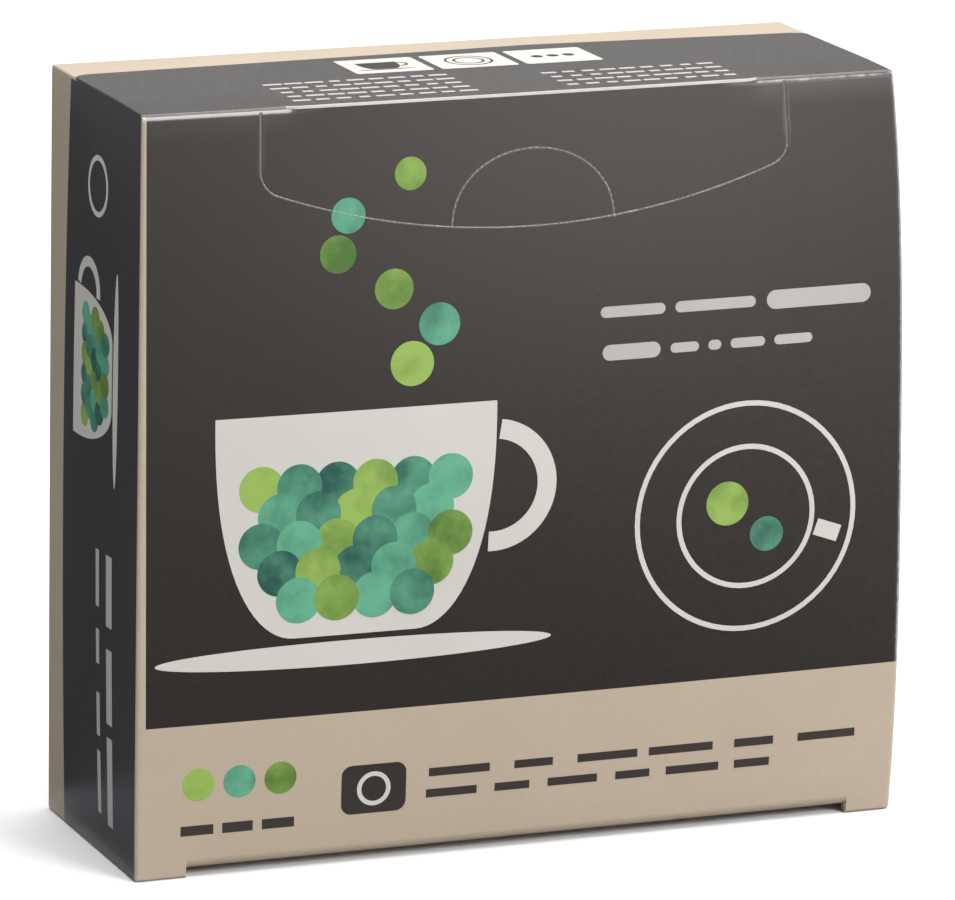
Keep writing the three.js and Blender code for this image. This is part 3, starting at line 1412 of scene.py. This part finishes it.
def stroke(line: Sequence[Flat], width: float, closed: bool = False) -> Shape:
    """A line of even width.

    Args:
        line: Its middle.
        width: Its width.
        closed: Whether its end meets its start.

    Returns:
        The shape.
    """
    middle = np.array(line, float)
    if closed:
        tangents = np.roll(middle, -1, axis=0) - np.roll(middle, 1, axis=0)
    else:
        tangents = np.gradient(middle, axis=0)
    tangents /= np.linalg.norm(tangents, axis=1)[:, None]
    beside = np.column_stack((-tangents[:, 1], tangents[:, 0])) * width / 2
    points = [tuple(point) for pair in zip(middle - beside, middle + beside) for point in pair]
    count = len(middle)
    faces = []
    for index in range(count if closed else count - 1):
        low, high = 2 * index, 2 * ((index + 1) % count)
        faces.append((low, high, high + 1, low + 1))
    return Shape(tuple(points), tuple(faces))


def arc(right: float, up: float, radius: float, start: float, end: float, width: float) -> Shape:
    """A stroke along part of a circle, between two angles in degrees.

    Args:
        right, up: The circle's centre.
        radius: Its radius.
        start, end: The angles. A full turn closes the stroke.
        width: The stroke's width.

    Returns:
        The shape.
    """
    full = abs(end - start) >= 360
    turns = np.radians(np.linspace(start, end, 64, endpoint=not full))
    line = [(right + radius * math.cos(turn), up + radius * math.sin(turn)) for turn in turns]
    return stroke(line, width, closed=full)


@dataclass(frozen=True)
class WordRows:
    """Where rows of word-long bars stand on a panel, and their sizes."""

    right: float
    up: float
    length: float
    words: int
    rows: int
    pitch: float
    weight: float
    seed: int
    upright: bool = False


@dataclass
class PrintFilm:
    """Thin films of ink on a panel, one piece for each ink."""

    carton: Carton
    panel: Panel
    cell: float = 5.0
    depth: float = 0.06
    proud: float = 0.025
    step: float = 0.004

    def split(self, shape: Shape) -> tuple[list[Flat], list[tuple[int, ...]]]:
        """Cuts a shape into small faces that can follow the panel's bow.

        Args:
            shape: The shape.

        Returns:
            Its points and faces.
        """
        work = bmesh.new()
        vertices = [work.verts.new((u, v, 0.0)) for u, v in shape.points]
        for face in shape.faces:
            work.faces.new([vertices[index] for index in face])
        bmesh.ops.recalc_face_normals(work, faces=work.faces)
        bmesh.ops.triangulate(work, faces=work.faces)
        low, high = np.min(shape.points, axis=0), np.max(shape.points, axis=0)
        for axis in range(2):
            normal = Vector((1 - axis, axis, 0))
            for line in np.arange(math.ceil(low[axis] / self.cell) * self.cell, high[axis], self.cell):
                geometry = work.verts[:] + work.edges[:] + work.faces[:]
                bmesh.ops.bisect_plane(work, geom=geometry, plane_co=normal * line, plane_no=normal)
        work.verts.index_update()
        points = [(vertex.co.x, vertex.co.y) for vertex in work.verts]
        faces = []
        for face in work.faces:
            loop = tuple(vertex.index for vertex in face.verts)
            faces.append(loop if face.normal.z > 0 else tuple(reversed(loop)))
        work.free()
        return points, faces

    def build(self, name: str, ink: WashInk, shapes: Sequence[Shape]) -> bpy.types.Object:
        """Makes one ink's films as closed thin solids.

        Args:
            name: The piece's name.
            ink: The ink.
            shapes: What is printed in it.

        Returns:
            The piece.
        """
        points, faces, washes = [], [], []
        for shape in shapes:
            top = self.proud + self.step * shape.layer
            flat, tops = self.split(shape)
            start, count = len(points), len(flat)
            points += [(u, v, top) for u, v in flat]
            points += [(u, v, -self.depth) for u, v in flat]
            washes += [shape.wash] * (2 * count)
            edges = {(face[i], face[(i + 1) % len(face)]) for face in tops for i in range(len(face))}
            for face in tops:
                faces.append(tuple(start + index for index in face))
                faces.append(tuple(start + count + index for index in reversed(face)))
            for a, b in sorted(edges):
                if (b, a) not in edges:
                    faces.append((start + count + a, start + count + b, start + b, start + a))
        placed = self.carton.place(self.panel, np.array(points))
        data = MeshData(placed, faces, masks={"wash": np.array(washes)})
        return settle(make_piece(name, data, (ink,)), ink.slot)

    def words(self, recipe: RecipeTree, name: str, ink: WashInk, rows: WordRows) -> bpy.types.Object:
        """Makes rows of word-long bars.

        Args:
            recipe: The rows' recipe.
            name: The piece's name.
            ink: The ink.
            rows: The rows' place and sizes.

        Returns:
            The piece.
        """
        mesh = bpy.data.meshes.new(name)
        piece = bpy.data.objects.new(name, mesh)
        bpy.context.scene.collection.objects.link(piece)
        pitch = rows.length / rows.words
        recipe.run(piece, {
            "Length": rows.length - pitch,
            "Height": rows.pitch * (rows.rows - 1),
            "Words": rows.words,
            "Rows": rows.rows,
            "Shortest": (pitch * 0.5, rows.weight, 2 * self.proud),
            "Longest": (pitch * 0.94, rows.weight * 1.05, 2 * self.proud),
            "Seed": rows.seed,
            "Material": LIBRARY.get(ink),
        })
        flat = np.array([vertex.co[:] for vertex in piece.data.vertices])
        if rows.upright:
            flat = np.column_stack((-flat[:, 1], flat[:, 0], flat[:, 2]))
        flat += (rows.right, rows.up, 0.0)
        placed = self.carton.place(self.panel, flat)
        piece.data.vertices.foreach_set("co", placed.astype(np.float32).ravel())
        piece.data.update()
        return settle(piece, ink.slot)


@dataclass
class CupPicture:
    """A plain cup on a saucer with rows of overlapping dots on it, and dots that rise from it."""

    rim_height: float = 34.0
    rim_half: float = 22.0
    foot_half: float = 9.5
    saucer_half: float = 31.0
    saucer_drop: float = 2.8
    saucer_half_height: float = 1.9
    handle_radius: float = 8.6
    handle_width: float = 3.0
    handle_share: float = 0.62
    handle_ends: Flat = (-94, 82)
    row_dots: tuple[int, ...] = (6, 5, 6, 5, 4)
    row_top: float = 23.0
    row_pitch: float = 4.3
    dot_pitch: float = 5.9
    dot_radius: float = 3.5
    wave_middle: float = 4.5
    wave_reach: float = 8.5

    def half_at(self, up: float) -> float:
        """Half the bowl's width at a height."""
        drop = min(1.0, max(0.0, (self.rim_height - up) / self.rim_height))
        return self.foot_half + (self.rim_half - self.foot_half) * math.sqrt(1 - drop ** 2.4)

    def crockery(self) -> list[Shape]:
        """The bowl, the saucer and the handle, round the middle of the cup's foot.

        Returns:
            Their shapes.
        """
        heights = [self.rim_height * (1 - math.cos(turn)) for turn in np.linspace(0, math.pi / 2, 24)]
        rim_side = [(self.half_at(up), up) for up in heights]
        bowl = area_of(rim_side + [(-half, up) for half, up in reversed(rim_side)])
        saucer = area_of([
            (self.saucer_half * math.cos(turn), self.saucer_half_height * math.sin(turn) - self.saucer_drop)
            for turn in np.linspace(0, 2 * math.pi, 64, endpoint=False)
        ])
        middle = (self.rim_half - 0.6, self.rim_height * self.handle_share)
        handle = arc(*middle, self.handle_radius, *self.handle_ends, self.handle_width)
        return [bowl, saucer, replace(handle, layer=1)]

    def dot_rows(self) -> list[tuple[Shape, bool]]:
        """Dots on the bowl in rows, each row over the one above it.

        Returns:
            Each dot, and whether it is teal.
        """
        placed = []
        for row, count in enumerate(self.row_dots):
            up = self.row_top - self.row_pitch * row
            for index in range(count):
                right = self.dot_pitch * (index - (count - 1) / 2)
                wash = (0.38 * index + 0.29 * row) % 0.9
                dot = replace(disc(right, up, self.dot_radius, wash), layer=2 + 2 * row + index % 2)
                placed.append((dot, (index + 2 * row) % 3 != row % 2))
        return placed

    def rising_dots(self, count: int, rise: float) -> list[tuple[Shape, bool]]:
        """Dots that rise from the rim along a slow wave.

        Args:
            count: How many.
            rise: From one to the next.

        Returns:
            Each dot, and whether it is teal.
        """
        placed = []
        for index in range(count):
            right = self.wave_middle + self.wave_reach * math.sin(1.25 * index + 0.5)
            up = self.rim_height + 6.5 + rise * index
            placed.append((disc(right, up, 3.4 - 0.18 * index, (0.29 * index) % 0.9), index % 3 == 1))
        return placed


@dataclass
class FrontPrint:
    """The front panel's print: the cup picture, a ring picture, title bars and the band's bars."""

    carton: Carton
    cup_right: float = -27.0
    cup_up: float = 35.5
    ring_right: float = 35.0
    ring_up: float = 48.5

    def title(self) -> list[Shape]:
        """Bars in two rows in the title's place.

        Returns:
            The bars.
        """
        rows = (
            (81.6, 1.7, ((11.4, 21.8), (23.4, 36.4))),
            (81.6, 2.9, ((38.2, 55.2),)),
            (75.4, 2.4, ((11.7, 21.0),)),
            (75.4, 1.5, ((22.6, 27.2), (28.7, 30.8), (32.3, 37.9), (39.4, 45.6))),
        )
        return [
            bar(left, right, up - weight / 2, up + weight / 2, weight / 2 - 0.01)
            for up, weight, words in rows
            for left, right in words
        ]

    def rings(self) -> list[Shape]:
        """A cup and saucer seen from above, in line.

        Returns:
            Their strokes.
        """
        right, up = self.ring_right, self.ring_up
        grip = stroke([(right + 11.4, up - 2.6), (right + 15.2, up - 4.0)], 2.6)
        return [
            arc(right, up, 17.5, 0, 360, 0.8),
            arc(right, up, 10.8, 0, 360, 0.8),
            grip,
        ]

    def build(self, words: RecipeTree) -> None:
        """Makes the front's films.

        Args:
            words: The recipe for rows of bars.
        """
        film = PrintFilm(self.carton, Panel.FRONT)
        cup = CupPicture()
        pale = [shape.moved(self.cup_right, self.cup_up) for shape in cup.crockery()]
        dots = [
            (dot.moved(self.cup_right, self.cup_up), teal)
            for dot, teal in cup.dot_rows() + cup.rising_dots(6, 5.7)
        ]
        dots.append((disc(self.ring_right - 3.0, self.ring_up + 2.2, 3.4, 0.3), False))
        dots.append((disc(self.ring_right + 3.4, self.ring_up - 3.0, 2.7, 0.7), True))
        swatches = [disc(-51.0 + 6.4 * index, 14.2, 2.5, 0.3 * index) for index in range(3)]
        film.build("front_pale_print", PALE, pale + self.rings())
        film.build("front_title_bars", WORDS, self.title())
        film.build("front_green_dots", GREEN, [dot for dot, teal in dots if not teal])
        film.build("front_teal_dots", TEAL, [dot for dot, teal in dots if teal])
        film.build("band_green_dots", GREEN, swatches[::2])
        film.build("band_teal_dot", TEAL, swatches[1::2])
        film.build("band_mark", DARK, [bar(-28.6, -18.4, 7.4, 15.0, 1.6)])
        film.build("band_mark_ring", PALE, [replace(arc(-23.5, 11.2, 2.3, 0, 360, 0.7), layer=2)])
        rows = (
            ("band_upper_words", WordRows(19.6, 12.9, 71.0, 6, 1, 3.3, 1.25, 4)),
            ("band_lower_words", WordRows(13.0, 9.6, 58.0, 6, 1, 3.3, 1.25, 9)),
            ("band_mark_words", WordRows(-44.8, 7.2, 19.0, 3, 1, 3.3, 1.5, 2)),
        )
        for name, place in rows:
            film.words(words, name, DARK, place)


@dataclass
class TopPrint:
    """The top sheet's print: three cards with plain signs, and two blocks of bars."""

    carton: Carton
    card_width: float = 12.6
    card_depth: float = 11.0
    card_pitch: float = 13.9
    first_card: float = -12.7
    card_up: float = 4.6

    def build(self, words: RecipeTree) -> None:
        """Makes the top's films.

        Args:
            words: The recipe for rows of bars.
        """
        film = PrintFilm(self.carton, Panel.TOP)
        middles = [self.first_card + self.card_pitch * index for index in range(3)]
        half, deep = self.card_width / 2, self.card_depth / 2
        cards = [
            bar(middle - half, middle + half, self.card_up - deep, self.card_up + deep, 0.5)
            for middle in middles
        ]
        film.build("top_cards", PALE, cards)
        cup = CupPicture()
        signs = [shape.moved(middles[0] - 0.6, self.card_up - 2.6, 0.15) for shape in cup.crockery()]
        signs += [arc(middles[1], self.card_up, radius, 0, 360, 0.4) for radius in (3.6, 2.3)]
        signs += [disc(middles[2] + 2.6 * (index - 1), self.card_up, 0.95) for index in range(3)]
        film.build("top_card_signs", DARK, [replace(sign, layer=sign.layer + 2) for sign in signs])
        left = WordRows(-21.0, -11.4, 30.0, 9, 5, 3.2, 0.95, 21)
        right = WordRows(22.0, -13.2, 29.0, 9, 4, 3.2, 0.95, 35)
        film.words(words, "top_left_words", WORDS, left)
        film.words(words, "top_right_words", WORDS, right)


@dataclass
class LeftPrint:
    """The left panel's print: the cup picture turned upright along the panel, and rows of bars."""

    carton: Carton
    scale: float = 0.52
    right: float = 11.0
    up: float = 74.0

    def build(self, words: RecipeTree) -> None:
        """Makes the left panel's films.

        Args:
            words: The recipe for rows of bars.
        """
        film = PrintFilm(self.carton, Panel.LEFT)
        cup = CupPicture()
        turn = math.pi / 2
        pale = [shape.moved(self.right, self.up, self.scale, turn) for shape in cup.crockery()]
        dots = [
            (dot.moved(self.right, self.up, self.scale, turn), teal)
            for dot, teal in cup.dot_rows()
        ]
        film.build("side_pale_print", PALE, pale)
        film.build("side_green_dots", GREEN, [dot for dot, teal in dots if not teal])
        film.build("side_teal_dots", TEAL, [dot for dot, teal in dots if teal])
        film.build("side_ring", PALE, [arc(3.0, 101.5, 4.2, 0, 360, 0.8)])
        thin = WordRows(5.4, 27.0, 42.0, 4, 1, 3.0, 1.4, 6, True)
        thick = WordRows(10.4, 27.0, 44.0, 3, 1, 3.0, 2.3, 12, True)
        film.words(words, "side_thin_words", WORDS, thin)
        film.words(words, "side_thick_words", WORDS, thick)


@dataclass(frozen=True)
class Card:
    """A card that reflections alone show: neither the eye nor the light on the carton meets it."""

    name: str
    finish: StudioPaper
    left: float
    right: float
    near: float
    far: float
    top: float = 0.0

    def build(self) -> None:
        """Sets the card, which stands where it has a top and else lies on the floor."""
        near = [(x, self.near, 0.0) for x in (self.left, self.right)]
        far = [(x, self.far, self.top) for x in (self.right, self.left)]
        card = make_piece(self.name, MeshData(np.array(near + far), [(0, 1, 2, 3)]), (self.finish,))
        card.visible_camera = False
        card.visible_diffuse = False
        card.visible_shadow = False


@dataclass(frozen=True)
class Lamp:
    """A soft lamp that points at the carton. One for sheen alone leaves matt colours as they are."""

    name: str
    place: tuple[float, float, float]
    size: Flat
    watts: float
    tint: tuple[float, float, float] = (1.0, 1.0, 1.0)
    sheen_only: bool = False
    aim: tuple[float, float, float] = (0.0, 0.0, 0.06)

    def build(self) -> None:
        """Hangs the lamp."""
        data = bpy.data.lights.new(self.name, "AREA")
        data.shape = "RECTANGLE"
        data.size, data.size_y = self.size
        data.energy = self.watts
        data.color = self.tint
        lamp = bpy.data.objects.new(self.name, data)
        lamp.visible_camera = False
        lamp.visible_diffuse = not self.sheen_only
        facing = (Vector(self.aim) - Vector(self.place)).to_track_quat("-Z", "Y").to_matrix()
        lamp.matrix_world = Matrix.Translation(Vector(self.place)) @ facing.to_4x4()
        bpy.context.scene.collection.objects.link(lamp)


# These cards are painted reflections: the dark one on the floor in front stands in for the floor's shade in
# the front's sheen, the grey ones darken the left side's sheen, and the pale one behind sets the top's
# sheen.
CARDS = (
    Card("front_card", DARK_CARD, left=-0.2, right=0.4, near=-0.36, far=-0.03),
    Card("left_card", GREY_CARD, left=-0.3, right=-0.0625, near=-0.03, far=0.03),
    Card("side_card", GREY_CARD, left=-0.3, right=-0.0585, near=0.03, far=0.03, top=0.14),
    Card("back_card", PALE_CARD, left=-0.6, right=1.4, near=0.9, far=0.9, top=0.55),
)
LAMPS = (
    Lamp("overhead", (0.25, 0.1, 2.6), (3.0, 3.0), 102.0),
    Lamp("front_box", (0.5, -1.05, 0.7), (0.5, 0.5), 11.5),
    Lamp("low_strip", (0.64, -1.02, 0.13), (0.7, 0.22), 10.5, tint=(1.0, 0.94, 0.88), sheen_only=True),
)


@dataclass
class Studio:
    """The floor, the light and the camera."""

    azimuth: float = -20.73
    elevation: float = 13.14
    roll: float = 0.41
    distance: float = 1134.8
    aim: tuple[float, float, float] = (1.03, -0.71, 56.47)
    focal_pixels: float = 7479.0
    floor_size: float = 6.0
    surround: float = 0.36
    floor_gap: float = 0.05

    def build_floor(self) -> None:
        """Lays the paper that the carton stands on."""
        half, low = self.floor_size / 2, -self.floor_gap * MM
        corners = [(-half, -half), (half, -half), (half, half), (-half, half)]
        points = np.array([(x, y, low) for x, y in corners])
        make_piece("studio_floor", MeshData(points, [(0, 1, 2, 3)]), (PAPER,))

    def build_camera(self) -> None:
        """Sets the camera at the photograph's view."""
        turn, tilt, roll = (math.radians(angle) for angle in (self.azimuth, self.elevation, self.roll))
        back = Vector((math.sin(turn) * math.cos(tilt), -math.cos(turn) * math.cos(tilt), math.sin(tilt)))
        facing = (-back).to_track_quat("-Z", "Y").to_matrix() @ Matrix.Rotation(roll, 3, "Z")
        data = bpy.data.cameras.new("view")
        data.sensor_width = SENSOR_WIDTH
        data.lens = self.focal_pixels / IMAGE_WIDTH * SENSOR_WIDTH
        data.clip_start = 0.01
        camera = bpy.data.objects.new("view", data)
        camera.matrix_world = Matrix.Translation(
            (Vector(self.aim) + back * self.distance) * MM
        ) @ facing.to_4x4()
        bpy.context.scene.collection.objects.link(camera)
        bpy.context.scene.camera = camera

    def build_world(self) -> None:
        """Makes the white surround, which the eye and reflections see at full white."""
        world = bpy.data.worlds.new("studio")
        tree = ShaderTree(world)
        level = self.surround + (1 - self.surround) * tree.seen()
        glow = tree.add("ShaderNodeBackground", inputs={"Strength": level})
        tree.add("ShaderNodeOutputWorld", inputs={"Surface": glow})
        bpy.context.scene.world = world

    def build(self) -> None:
        """Builds the whole studio."""
        self.build_camera()
        self.build_floor()
        for fitting in CARDS + LAMPS:
            fitting.build()
        self.build_world()
        bpy.context.scene.view_settings.view_transform = "Standard"


def main() -> None:
    """Builds the studio and the carton, piece by piece."""
    logging.basicConfig(level=logging.INFO, format="%(name)s: %(message)s")
    Studio().build()
    carton = Carton(height=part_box(NODE)[1].z / MM)
    FoldedWalls(carton).build()
    TopSheet(carton).build()
    BaseSheet(carton).build()
    fibres = make_fibre_recipe()
    tear = TearFibres(carton, highest=105.0)
    tear.build(fibres, "tear_line_fibres", carton.tear_line(), 3)
    thumb = TearFibres(carton, spacing=1.0, smallest=(0.4, 0.03), largest=(1.0, 0.12))
    thumb.build(fibres, "thumb_line_fibres", carton.thumb_line(), 8)
    words = make_words_recipe()
    FrontPrint(carton).build(words)
    TopPrint(carton).build(words)
    LeftPrint(carton).build(words)


if __name__ == "__main__":
    main()
